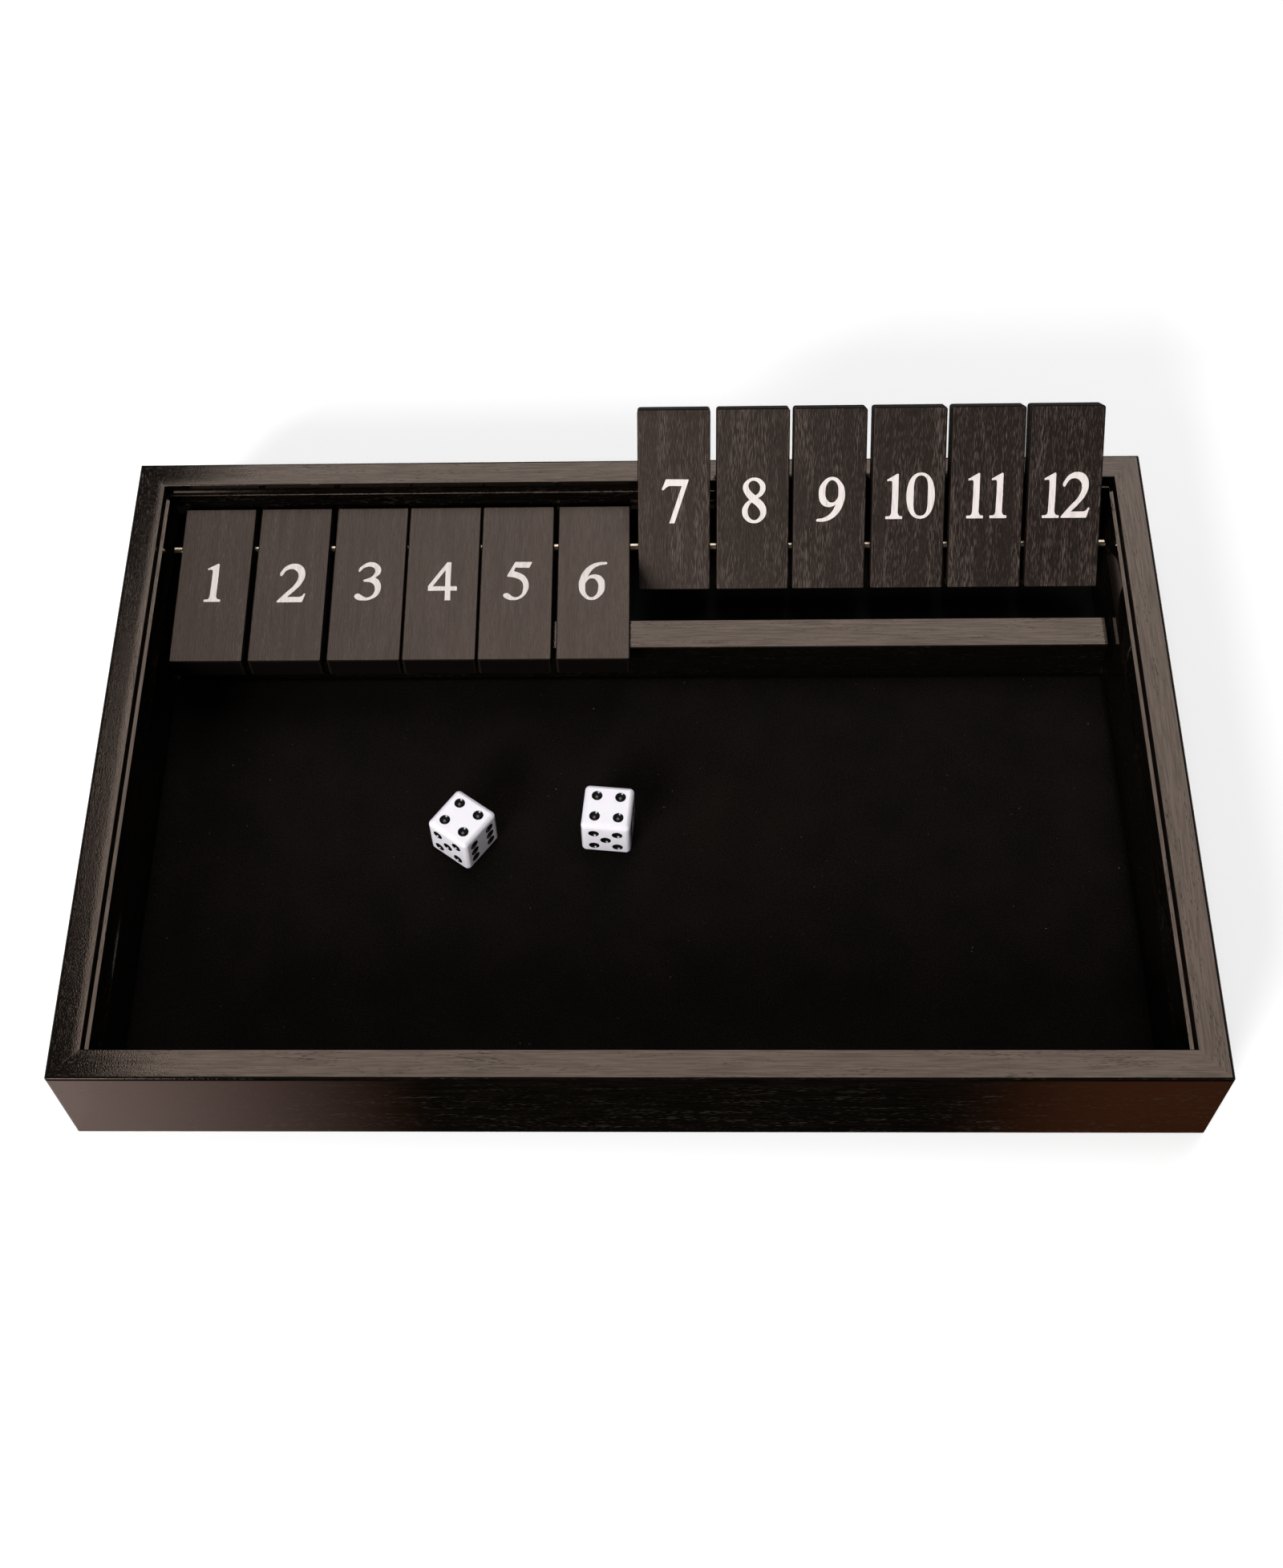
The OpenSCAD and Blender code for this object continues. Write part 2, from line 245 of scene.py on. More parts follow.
def pressed_felt(name, light, dark, loft):
    """Short-napped felt: swallows light, with a soft fuzz and a speckle of fibre ends some 0.4 mm across, which
    drifts a little lighter and darker over 15 mm."""
    material, tree, output, here = new_material(name)
    mats = add(tree, "ShaderNodeTexNoise", {
        "Vector": here, "Scale": 2400.0, "Detail": 2.0, "Roughness": 0.7}).outputs[0]
    clouds = add(tree, "ShaderNodeTexNoise", {"Vector": here, "Scale": 60.0, "Detail": 3.0}).outputs[0]
    blend = add(tree, "ShaderNodeMath", {0: clouds, 1: 0.15, 2: mats}, operation="MULTIPLY_ADD").outputs[0]
    tone = add(tree, "ShaderNodeMapRange", {"Value": blend, "From Min": 0.53, "From Max": 0.78}).outputs[0]
    colour = add(tree, "ShaderNodeMix", {0: tone, 6: linear(dark), 7: linear(light)}, data_type="RGBA").outputs[2]
    bump = add(tree, "ShaderNodeBump", {"Height": mats, "Distance": loft}).outputs[0]
    shader = add(tree, "ShaderNodeBsdfPrincipled", {
        "Base Color": colour, "Roughness": 1.0, "Normal": bump, "Specular IOR Level": 0.1,
        "Sheen Weight": 0.004, "Sheen Roughness": 0.6, "Sheen Tint": linear("#b3a18c")})
    tree.links.new(shader.outputs[0], output.inputs[0])
    return material


def put_in(name, shape):
    """A new object of this shape, in the scene."""
    made = bpy.data.objects.new(name, shape)
    bpy.context.scene.collection.objects.link(made)
    return made


def taken_off(carrier):
    """The plain mesh that a carrier's modifiers or curves make. The carrier itself is removed."""
    bpy.context.view_layer.update()
    mesh = bpy.data.meshes.new_from_object(carrier.evaluated_get(bpy.context.evaluated_depsgraph_get()))
    bpy.data.objects.remove(carrier)
    return mesh


def closed_sheet(name, low, high, step, dip):
    """A closed sheet between two corners, whose top lies below the upper one by dip(x, y)."""
    across, along = (max(2, round((high[i] - low[i]) / step)) for i in (0, 1))
    spots = [(low.x + (high.x - low.x) * i / across, low.y + (high.y - low.y) * j / along)
             for j in range(along + 1) for i in range(across + 1)]
    row = across + 1
    verts = [(x, y, high.z - dip(x, y)) for x, y in spots] + [(x, y, low.z) for x, y in spots]
    under = len(spots)
    faces = []
    for j in range(along):
        for i in range(across):
            a = j * row + i
            faces += [(a, a + 1, a + row + 1, a + row),
                      (under + a, under + a + row, under + a + row + 1, under + a + 1)]
    rim = ([i for i in range(across)] + [j * row + across for j in range(along)]
           + [along * row + i for i in range(across, 0, -1)] + [j * row for j in range(along, 0, -1)])
    for a, b in zip(rim, rim[1:] + rim[:1]):
        faces.append((b, a, under + a, under + b))
    mesh = bpy.data.meshes.new(name)
    mesh.from_pydata(verts, [], faces)
    return put_in(name, mesh)


def felt_dip(x, y):
    """How far the felt's face lies below its full thickness: it is thin at its cut edges, and uneven elsewhere, in
    swells 40 to 100 mm long."""
    wave = (math.sin(x * 61 + 1.3) * math.sin(y * 83 + 0.4) + math.sin(x * 173 + y * 119) * 0.5) / 1.5
    edge = min(x - FELT_LOW.x, FELT_HIGH.x - x, y - FELT_LOW.y, FELT_HIGH.y - y)
    return FELT_UNEVEN * (0.6 + 0.4 * wave) + FELT_EDGE_FALL * math.exp(-edge / FELT_EDGE_W)


felt = closed_sheet("felt_play_area", FELT_LOW, FELT_HIGH, FELT_STEP, felt_dip)
for face in felt.data.polygons:
    face.use_smooth = abs(face.normal.z) > 0.5
felt.data.materials.append(pressed_felt("black_felt", "#1d1611", "#020101", 0.25 * MM))


def started_group(name, inputs):
    """A node group that takes a geometry and these named inputs, and what it is given."""
    tree = bpy.data.node_groups.new(name, "GeometryNodeTree")
    for title, kind, value in (("Geometry", "Geometry", None), *inputs):
        made = tree.interface.new_socket(title, in_out="INPUT", socket_type="NodeSocket" + kind)
        if value is not None:
            made.default_value = value
    tree.interface.new_socket("Geometry", in_out="OUTPUT", socket_type="NodeSocketGeometry")
    return tree, add(tree, "NodeGroupInput").outputs


def ended_group(tree, instances, finish):
    """Ends a node group with its instances as plain mesh in this finish."""
    real = add(tree, "GeometryNodeRealizeInstances", {0: instances}).outputs[0]
    dressed = add(tree, "GeometryNodeSetMaterial", {"Geometry": real, "Material": finish}).outputs[0]
    add(tree, "NodeGroupOutput", {0: dressed})
    return tree


def scattered_fibres():
    """Lays curved fibres flat over a surface, turned at random."""
    tree, given = started_group("scattered_fibres", (
        ("Fibres per square metre", "Float", 1000.0), ("Fibre length", "Float", 2 * MM),
        ("Fibre thickness", "Float", 0.1 * MM), ("Lift", "Float", 0.02 * MM), ("Seed", "Int", 7),
        ("Fibre", "Material", None)))
    points = add(tree, "GeometryNodeDistributePointsOnFaces", {
        "Mesh": given["Geometry"], "Density": given["Fibres per square metre"], "Seed": given["Seed"]})
    # One fibre: a bow of three-sided tube, whose middle is pulled aside by 0.22 of its length
    bow = add(tree, "ShaderNodeMath", {0: given["Fibre length"], 1: 0.22}, operation="MULTIPLY").outputs[0]
    middle = add(tree, "ShaderNodeCombineXYZ", {0: 0.0, 1: bow}).outputs[0]
    half = add(tree, "ShaderNodeMath", {0: given["Fibre length"], 1: 0.5}, operation="MULTIPLY").outputs[0]
    start = add(tree, "ShaderNodeCombineXYZ", {0: half}).outputs[0]
    end = add(tree, "ShaderNodeVectorMath", {0: start, 1: (-1, 0, 0)}, operation="MULTIPLY").outputs[0]
    strand = add(tree, "GeometryNodeCurveQuadraticBezier", {
        "Resolution": 3, "Start": start, "Middle": middle, "End": end}).outputs[0]
    radius = add(tree, "ShaderNodeMath", {0: given["Fibre thickness"], 1: 0.5}, operation="MULTIPLY").outputs[0]
    ring = add(tree, "GeometryNodeCurvePrimitiveCircle", {"Resolution": 3, "Radius": radius}).outputs[0]
    fibre = add(tree, "GeometryNodeCurveToMesh", {
        "Curve": strand, "Profile Curve": ring, "Fill Caps": True}).outputs[0]
    # Each lies tipped by up to 7 degrees, turned any way, half to 1.2 times as long, and straighter or more bowed
    turn = add(tree, "FunctionNodeRandomValue", {
        0: (-0.12, -0.12, 0.0), 1: (0.12, 0.12, 6.283), "Seed": given["Seed"]}, data_type="FLOAT_VECTOR").outputs[0]
    size = add(tree, "FunctionNodeRandomValue", {
        0: (0.5, -1.0, 0.8), 1: (1.2, 1.0, 1.2), "Seed": given["Seed"]}, data_type="FLOAT_VECTOR").outputs[0]
    size = add(tree, "ShaderNodeVectorMath", {0: size, 1: (0.2, 0.2, 0.2)}, operation="MAXIMUM").outputs[0]
    laid = add(tree, "GeometryNodeInstanceOnPoints", {
        "Points": points.outputs[0], "Instance": fibre, "Rotation": turn, "Scale": size}).outputs[0]
    raised = add(tree, "ShaderNodeCombineXYZ", {2: given["Lift"]}).outputs[0]
    lifted = add(tree, "GeometryNodeTranslateInstances", {
        0: laid, "Translation": raised, "Local Space": False}).outputs[0]
    return ended_group(tree, lifted, given["Fibre"])


def from_tree(name, base, tree, values):
    """Runs a node tree over a base mesh with these inputs, and returns the result as a plain mesh object."""
    carrier = put_in(name + "_base", base)
    modifier = carrier.modifiers.new("made", "NODES")
    modifier.node_group = tree
    for item in tree.interface.items_tree:
        if item.in_out == "INPUT" and item.name in values:
            modifier[item.identifier] = values[item.name]
    mesh = taken_off(carrier)
    mesh.name = name
    return put_in(name, mesh)


def felt_face():
    """The part of the felt's face that fibres lie on."""
    low_x, high_x = FELT_LOW.x + NAP_INSET, FELT_HIGH.x - NAP_INSET
    low_y, high_y = FELT_LOW.y + NAP_INSET, FELT_HIGH.y - NAP_INSET
    z = FELT_HIGH.z - NAP_SINK
    mesh = bpy.data.meshes.new("felt_face")
    mesh.from_pydata([(low_x, low_y, z), (high_x, low_y, z), (high_x, high_y, z), (low_x, high_y, z)],
                     [], [(0, 1, 2, 3)])
    return mesh


fibre_tree = scattered_fibres()
nap = from_tree("felt_nap", felt_face(), fibre_tree, {
    "Fibres per square metre": 90000.0, "Fibre length": 2.4 * MM, "Fibre thickness": 0.1 * MM,
    "Lift": -0.03 * MM, "Seed": 11, "Fibre": pressed_felt("felt_fibre", "#3a2e25", "#070504", 0.02 * MM)})


def cotton_lint(name):
    """Bits of cotton lint: pale and matt, some cleaner than others."""
    material, tree, output, here = new_material(name)
    grey = add(tree, "ShaderNodeTexNoise", {"Vector": here, "Scale": 90.0}).outputs[0]
    shade = add(tree, "ShaderNodeMapRange", {"Value": grey, "From Min": 0.38, "From Max": 0.6}).outputs[0]
    colour = add(tree, "ShaderNodeMix", {
        0: shade, 6: linear("#3a342f"), 7: linear("#b5ada6")}, data_type="RGBA").outputs[2]
    shader = add(tree, "ShaderNodeBsdfPrincipled", {"Base Color": colour, "Roughness": 0.9})
    tree.links.new(shader.outputs[0], output.inputs[0])
    return material


lint = from_tree("felt_lint", felt_face(), fibre_tree, {
    "Fibres per square metre": 8000.0, "Fibre length": 0.7 * MM, "Fibre thickness": 0.17 * MM,
    "Lift": 0.0, "Seed": 3, "Fibre": cotton_lint("cotton_lint")})
for piece in (felt, nap, lint):
    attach(piece, "tray")
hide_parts("felt_lining")

# Stop bar: a square-edged length of the same stained and lacquered hardwood, glued across the tray
# between the side rails. The shut tiles rest on it.
finish_node("stop_bar", lacquered_wood("lacquered_wood_bar", 0, (0.83, 0.61, 0.37)))

# Hinge rod: a length of bright cold-drawn steel, 3.2 mm thick, held in blind holes in the side rails.
# The tiles turn on it.


def drawn_steel(name):
    """Cold-drawn steel rod: bright and slightly warm, with fine drawing marks 0.1 mm wide along its length, and
    tarnished in patches of 7 mm."""
    material, tree, output, here = new_material(name)
    marks = drawn_out(tree, here, (60, 9000, 9000), Detail=2.0)
    tarnish = add(tree, "ShaderNodeTexNoise", {"Vector": here, "Scale": 140.0, "Detail": 3.0}).outputs[0]
    colour = add(tree, "ShaderNodeMix", {
        0: tarnish, 6: linear("#807364"), 7: linear("#b8a995")}, data_type="RGBA").outputs[2]
    roughness = add(tree, "ShaderNodeMapRange", {"Value": marks, "To Min": 0.12, "To Max": 0.3}).outputs[0]
    bump = add(tree, "ShaderNodeBump", {"Height": marks, "Distance": 0.01 * MM}).outputs[0]
    shader = add(tree, "ShaderNodeBsdfPrincipled", {
        "Base Color": colour, "Metallic": 1.0, "Roughness": roughness, "Normal": bump})
    tree.links.new(shader.outputs[0], output.inputs[0])
    return material


finish_node("hinge_rod", drawn_steel("drawn_steel"))

# Number tiles: twelve blocks of fine-grained hardwood, cross-drilled near one end for the rod,
# sanded, dipped in black stain and left almost matt. Tiles 1 to 6 are shut, 7 to 12 stand raised.
ROD_LOW, ROD_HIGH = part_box("hinge_rod")
ROD_Y, ROD_Z = (ROD_LOW.y + ROD_HIGH.y) / 2, (ROD_LOW.z + ROD_HIGH.z) / 2
TILE_COUNT, FIRST_RAISED = 12, 7
SHUT_TURN, RAISED_TURN = math.radians(3.74459), math.radians(-132.9392)  # from lying level
TILE_T, TILE_TAIL, TILE_L = 9 * MM, 14 * MM, 61 * MM  # thickness, length behind the rod, whole length


def tile_place(number):
    """The middle of a tile's rod hole, and the tile's turn about the rod."""
    low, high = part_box(f"tile_{number}")
    return Vector(((low.x + high.x) / 2, ROD_Y, ROD_Z)), SHUT_TURN if number < FIRST_RAISED else RAISED_TURN


def on_tile(tree, here, place, turn):
    """A point's place on its tile, laid flat: x across it, y towards its tail end, z up from the rod's middle."""
    return add(tree, "ShaderNodeMapping", {"Vector": here, "Location": place, "Rotation": (turn, 0, 0)},
               vector_type="TEXTURE").outputs[0]


def stained_wood(name, number):
    """Fine-grained hardwood under black stain: satin and warm grey in the light, with hair-fine matt pores along
    the tile that show paler in shade and darker in a gleam. Its end grain has soaked up more stain."""
    material, tree, output, here = new_material(name)
    place, turn = tile_place(number)
    flat = on_tile(tree, here, place, turn)
    own = add(tree, "ShaderNodeMapping", {"Vector": flat, "Location": (
        number * 0.37, number * 0.53, number * 0.29)}).outputs[0]
    # Bands of growth some 3 mm wide, fibres 0.3 mm wide, and pores up to 4 mm long and 0.13 mm wide
    bands = drawn_out(tree, own, (330, 22, 330), Detail=3.0, Distortion=0.6)
    fibres = drawn_out(tree, own, (3200, 150, 1600), Detail=2.0)
    crowding = add(tree, "ShaderNodeMapRange", {
        "Value": bands, "From Min": 0.3, "From Max": 0.7, "To Min": 0.2, "To Max": 0.5}).outputs[0]
    pores = open_pores(tree, own, (7600, 250, 7600), crowding, 0.2)
    blend = add(tree, "ShaderNodeMath", {0: bands, 1: 0.6, 2: fibres}, operation="MULTIPLY_ADD").outputs[0]
    tone = add(tree, "ShaderNodeMapRange", {"Value": blend, "From Min": 0.6, "From Max": 1.0}).outputs[0]
    wood = add(tree, "ShaderNodeMix", {
        0: tone, 6: linear("#050302"), 7: linear("#0d0907")}, data_type="RGBA").outputs[2]
    grained = add(tree, "ShaderNodeMix", {0: pores, 6: wood, 7: linear("#554a45")}, data_type="RGBA").outputs[2]
    # The end grain
    lengthwise = add(tree, "ShaderNodeSeparateXYZ", {0: flat}).outputs[1]
    off_middle = add(tree, "ShaderNodeMath", {
        0: lengthwise, 1: TILE_TAIL - TILE_L / 2}, operation="SUBTRACT").outputs[0]
    from_middle = add(tree, "ShaderNodeMath", {0: off_middle}, operation="ABSOLUTE").outputs[0]
    end = add(tree, "ShaderNodeMapRange", {
        "Value": from_middle, "From Min": TILE_L / 2 - 0.15 * MM, "From Max": TILE_L / 2 - 0.05 * MM}).outputs[0]
    colour = add(tree, "ShaderNodeMix", {0: end, 6: grained, 7: linear("#030202")}, data_type="RGBA").outputs[2]
    satin = add(tree, "ShaderNodeMapRange", {"Value": tone, "To Min": 0.42, "To Max": 0.33}).outputs[0]
    open_grain = add(tree, "ShaderNodeMix", {0: pores, 2: satin, 3: 0.75}).outputs[0]
    # The ends, narrow sides and arrises are sanded through the satin: an arris is where the surface faces
    # neither along, across nor up
    outward = add(tree, "ShaderNodeTexCoord").outputs["Normal"]
    turned = add(tree, "ShaderNodeMapping", {
        "Vector": outward, "Rotation": (-turn, 0, 0)}, vector_type="VECTOR").outputs[0]
    straight = add(tree, "ShaderNodeVectorMath", {0: turned}, operation="ABSOLUTE").outputs[0]
    sides = add(tree, "ShaderNodeSeparateXYZ", {0: straight}).outputs
    most = add(tree, "ShaderNodeMath", {0: sides[0], 1: sides[1]}, operation="MAXIMUM").outputs[0]
    most = add(tree, "ShaderNodeMath", {0: most, 1: sides[2]}, operation="MAXIMUM").outputs[0]
    arris = add(tree, "ShaderNodeMapRange", {
        "Value": most, "From Min": 0.93, "From Max": 0.99, "To Min": 1.0, "To Max": 0.0}).outputs[0]
    colour = add(tree, "ShaderNodeMix", {0: arris, 6: colour, 7: linear("#140f0c")}, data_type="RGBA").outputs[2]
    narrow = add(tree, "ShaderNodeMapRange", {"Value": sides[0], "From Min": 0.7, "From Max": 0.9}).outputs[0]
    sanded = add(tree, "ShaderNodeMath", {0: arris, 1: end}, operation="MAXIMUM").outputs[0]
    sanded = add(tree, "ShaderNodeMath", {0: sanded, 1: narrow}, operation="MAXIMUM").outputs[0]
    roughness = add(tree, "ShaderNodeMix", {0: sanded, 2: open_grain, 3: 0.85}).outputs[0]
    sheen = add(tree, "ShaderNodeMix", {0: sanded, 2: 0.48, 3: 0.06}).outputs[0]
    relief = add(tree, "ShaderNodeMath", {0: pores, 1: -0.5, 2: blend}, operation="MULTIPLY_ADD").outputs[0]
    bump = add(tree, "ShaderNodeBump", {"Height": relief, "Distance": 0.03 * MM}).outputs[0]
    shader = add(tree, "ShaderNodeBsdfPrincipled", {
        "Base Color": colour, "Roughness": roughness, "Normal": bump, "IOR": 1.5, "Specular IOR Level": sheen,
        "Specular Tint": (1.0, 0.76, 0.64, 1.0)})
    tree.links.new(shader.outputs[0], output.inputs[0])
    return material


for number in range(1, TILE_COUNT + 1):
    finish_node(f"tile_{number}", stained_wood(f"stained_wood_{number}", number))

# Numerals: one on each broad face of a tile, in thick warm white screen ink, so that a number reads
# upright with its tile shut and with it raised.
INK = 0.03 * MM  # thickness
# Each figure is made of closed outlines of points (x, y) in mm, its foot at y = 0. A point that is marked curved
# is passed in a bend, and the others are corners.
curved = True
FIGURES = {
    "0": [[(0, 15.6, curved), (4.75, 7.8, curved), (0, 0, curved), (-4.75, 7.8, curved)],
          [(0.05, 14.6, curved), (2.4, 7.8, curved), (0.05, 1.0, curved), (-2.3, 7.8, curved)]],
    "1": [[(0.75, 15.3), (1.1, 15.0), (1.1, 8), (1.0, 2.2), (1.5, 1.15, curved), (2.5, 0.9), (2.6, 0.45, curved),
           (2.5, 0), (-3.0, 0), (-3.1, 0.45, curved), (-3.0, 0.9), (-1.6, 1.15, curved), (-1.15, 2.2),
           (-1.0, 8), (-1.0, 12), (-1.25, 12.75, curved), (-2.7, 12.75), (-2.75, 13.3)]],
    "2": [[(-3.95, 10.5, curved), (-4.4, 11.0, curved), (-3.7, 12.9, curved), (-2.2, 14.6, curved),
           (0.5, 15.4, curved), (3.0, 14.3, curved), (4.15, 11.2, curved), (3.3, 7.7, curved), (1.0, 4.6, curved),
           (-1.4, 2.1), (2.9, 2.1), (3.7, 2.5, curved), (4.2, 3.3), (4.55, 3.45, curved), (4.75, 3.1), (3.8, 0),
           (-4.7, 0), (-4.7, 0.5), (-1.75, 4.0, curved), (0.85, 7.0, curved), (1.95, 10.3, curved),
           (1.2, 12.4, curved), (-0.65, 13.3, curved), (-2.4, 12.6, curved), (-3.3, 11.2, curved)]],
    "3": [[(-3.2, 11.4, curved), (-3.5, 12.1, curved), (-2.3, 13.9, curved), (0.4, 15.3, curved), (3.1, 14.2, curved),
           (4.1, 12.2, curved), (3.7, 10.5, curved), (2.3, 9.1), (3.6, 7.9, curved), (4.4, 5.3, curved),
           (3.6, 2.3, curved), (1.6, 0.6, curved), (-1.4, 0, curved), (-3.7, 0.6, curved), (-4.4, 1.8, curved),
           (-3.3, 2.75, curved), (-2.2, 2.2, curved), (-1.2, 1.45, curved), (0, 1.15, curved), (1.7, 2.2, curved),
           (2.4, 4.6, curved), (1.8, 6.4, curved), (0.4, 7.3, curved), (-1.4, 7.45), (-1.75, 7.9, curved),
           (-1.3, 8.3), (0.6, 9.1, curved), (1.9, 10.6, curved), (2.1, 12.0, curved), (1.3, 13.2, curved),
           (-0.1, 13.5, curved), (-1.8, 12.9, curved), (-2.8, 11.8, curved)]],
    "4": [[(1.3, 15.2), (2.7, 15.2), (2.7, 5.55), (4.8, 5.55), (4.95, 5.2), (4.95, 3.85), (2.75, 3.85), (2.9, 0),
           (1.0, 0), (0.95, 3.85), (-4.8, 3.85), (-4.85, 5.7)],
          [(0.95, 5.55), (0.85, 12.1), (-3.3, 5.6)]],
    "5": [[(-0.9, 15.2), (4.6, 15.15), (4.75, 14.8), (3.9, 12.8), (-0.8, 12.95), (-1.3, 11.5), (0.6, 10.8, curved),
           (2.7, 9.2, curved), (3.85, 5.9, curved), (3.2, 2.9, curved), (1.4, 0.8, curved), (-1.2, 0, curved),
           (-3.7, 0.7, curved), (-4.65, 2.0, curved), (-3.4, 2.8, curved), (-2.4, 2.2, curved), (-1.4, 1.35, curved),
           (-0.2, 1.1, curved), (1.4, 2.2, curved), (2.0, 4.4, curved), (1.95, 6.2, curved), (1.3, 7.6, curved),
           (-0.4, 8.7, curved), (-3.5, 9.4), (-3.45, 9.9)]],
    "6": [[(4.5, 15.05), (4.8, 14.6, curved), (4.4, 14.15), (2.2, 13.75, curved), (-0.2, 12.1, curved), (-1.8, 9.3),
           (-0.7, 9.9, curved), (0.8, 10.15, curved), (2.9, 9.2, curved), (4.0, 6.1, curved), (3.1, 2.3, curved),
           (-0.5, 0, curved), (-3.7, 2.1, curved), (-4.8, 5.8, curved), (-4.3, 8.9, curved), (-2.8, 12.0, curved),
           (-0.3, 14.2, curved), (2.2, 15.05, curved)],
          [(-0.35, 8.65, curved), (1.3, 7.5, curved), (1.8, 4.7, curved), (1.0, 2.0, curved), (-0.4, 1.1, curved),
           (-1.9, 2.0, curved), (-2.6, 5.0, curved), (-2.1, 7.5, curved)]],
    "7": [[(-3.1, 14.9), (4.5, 14.8), (4.5, 14.4), (-0.25, 0), (-2.0, 0), (2.25, 12.6), (-1.9, 12.65),
           (-2.9, 12.2, curved), (-3.8, 11.35), (-4.2, 11.2, curved), (-4.5, 11.6), (-3.6, 13.7)]],
    "8": [[(0.05, 15.4, curved), (2.8, 14.3, curved), (3.8, 12.1, curved), (3.0, 9.8, curved), (1.4, 8.5),
           (3.2, 6.8, curved), (4.1, 4.2, curved), (3.0, 1.3, curved), (0.1, 0, curved), (-2.9, 1.2, curved),
           (-4.05, 4.0, curved), (-3.2, 6.4, curved), (-1.6, 7.9), (-3.0, 9.8, curved), (-3.8, 12.1, curved),
           (-2.7, 14.3, curved)],
          [(0.05, 14.35, curved), (1.5, 13.4, curved), (2.0, 11.9, curved), (1.4, 10.2, curved), (0.45, 9.4),
           (-1.1, 10.8, curved), (-1.95, 12.7, curved), (-1.3, 14.0, curved)],
          [(-0.85, 7.1), (1.0, 5.6, curved), (2.1, 3.6, curved), (1.6, 1.9, curved), (0.2, 1.05, curved),
           (-1.4, 1.8, curved), (-2.15, 3.9, curved), (-1.8, 5.7, curved)]],
}
FIGURES["9"] = [[(-x, 15.1 - y, *bend) for x, y, *bend in outline] for outline in FIGURES["6"]]
# For each number, its figures and how far each stands from the number's middle, in mm
NUMBERS = {n: [(str(n), 0)] for n in range(1, 10)}
NUMBERS.update({10: [("1", -4.95), ("0", 3.6)], 11: [("1", -3.65), ("1", 4.15)], 12: [("1", -4.65), ("2", 3.25)]})
# Where each print came down: right of the tile's middle, and below the end that its top points to, in mm
REGISTER = {1: (0.3, 37.6), 2: (0.55, 38.0), 3: (0.0, 37.5), 4: (0.1, 37.7), 5: (0.3, 37.8), 6: (-0.2, 38.0),
            7: (0.4, 38.2), 8: (0.45, 38.4), 9: (0.4, 38.1), 10: (0.45, 37.4), 11: (0.15, 37.4), 12: (0.45, 37.5)}


def printed_number(number):
    """The closed film of ink of one number, flat, with its baseline on y = 0, in mm."""
    curve = bpy.data.curves.new("number", "CURVE")
    curve.dimensions, curve.fill_mode, curve.resolution_u = "2D", "BOTH", 8
    curve.extrude = INK / MM * 0.75
    for figure, middle in NUMBERS[number]:
        for outline in FIGURES[figure]:
            spline = curve.splines.new("BEZIER")
            spline.bezier_points.add(len(outline) - 1)
            spline.use_cyclic_u = True
            for point, (x, y, *bend) in zip(spline.bezier_points, outline):
                point.co = (x + middle, y, 0)
                point.handle_left_type = point.handle_right_type = "AUTO" if bend else "VECTOR"
    return taken_off(put_in("number", curve))


def screen_ink(name, number):
    """Warm white screen ink on raw grain: flat and slightly chalky, thinner where it bridges the grain."""
    material, tree, output, here = new_material(name)
    flat = on_tile(tree, here, *tile_place(number))
    grain = drawn_out(tree, flat, (2600, 160, 1400), Detail=2.0)
    thin = add(tree, "ShaderNodeMapRange", {
        "Value": grain, "From Min": 0.5, "From Max": 0.75, "To Max": 0.45}).outputs[0]
    colour = add(tree, "ShaderNodeMix", {
        0: thin, 6: linear("#dcd2ce"), 7: linear("#978981")}, data_type="RGBA").outputs[2]
    bump = add(tree, "ShaderNodeBump", {"Height": grain, "Distance": 0.02 * MM}).outputs[0]
    shader = add(tree, "ShaderNodeBsdfPrincipled", {"Base Color": colour, "Roughness": 0.55, "Normal": bump})
    tree.links.new(shader.outputs[0], output.inputs[0])
    return material


def print_tile(number):
    """Prints both broad faces of a tile. The ink stands proud by its thickness, and goes half of that deep."""
    place, turn = tile_place(number)
    tile = Matrix.Translation(place) @ Matrix.Rotation(turn, 4, "X")
    right, baseline = (v * MM for v in REGISTER[number])
    up = TILE_T / 2 + INK / 4
    shut_face = Matrix.Translation((right, TILE_TAIL - baseline, up))
    raised_face = (Matrix.Translation((right, TILE_TAIL - TILE_L + baseline, -up))
                   @ Matrix.Rotation(math.pi, 4, "X"))
    film = printed_number(number)
    both = bmesh.new()
    for face in (shut_face, raised_face):
        one = bmesh.new()
        one.from_mesh(film)
        bmesh.ops.remove_doubles(one, verts=one.verts, dist=1e-4)
        bmesh.ops.recalc_face_normals(one, faces=one.faces)
        one.transform(tile @ face @ Matrix.Scale(MM, 4))
        placed = bpy.data.meshes.new("placed")
        one.to_mesh(placed)
        one.free()
        both.from_mesh(placed)
        bpy.data.meshes.remove(placed)
    mesh = bpy.data.meshes.new(f"numerals_{number}")
    both.to_mesh(mesh)
    both.free()
    made = put_in(mesh.name, mesh)
    mesh.materials.clear()
    mesh.materials.append(screen_ink(f"screen_ink_{number}", number))
    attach(made, f"tile_{number}")


for number in range(1, TILE_COUNT + 1):
    print_tile(number)

# Dice: two 16 mm dice moulded in white acrylic and tumble-polished, their pips drilled as shallow bowls
# and filled with black enamel, which is then wiped off the faces.
DIE, DIE_EDGE = 16 * MM, 1.65 * MM  # across the faces, and how far the edges are rounded
PIP_W, PIP_DEPTH, PIP_OUT = 3.5 * MM, 1.0 * MM, 3.8 * MM  # PIP_OUT is from a face's middle to its outer pips
BOWL_R = ((PIP_W / 2) ** 2 + PIP_DEPTH ** 2) / (2 * PIP_DEPTH)  # of the ball that a pip's bowl is cut by
ENAMEL = 0.06 * MM  # thickness
DICE = {"die_left": math.radians(-36.5), "die_right": math.radians(-5.5)}  # how far each lies turned
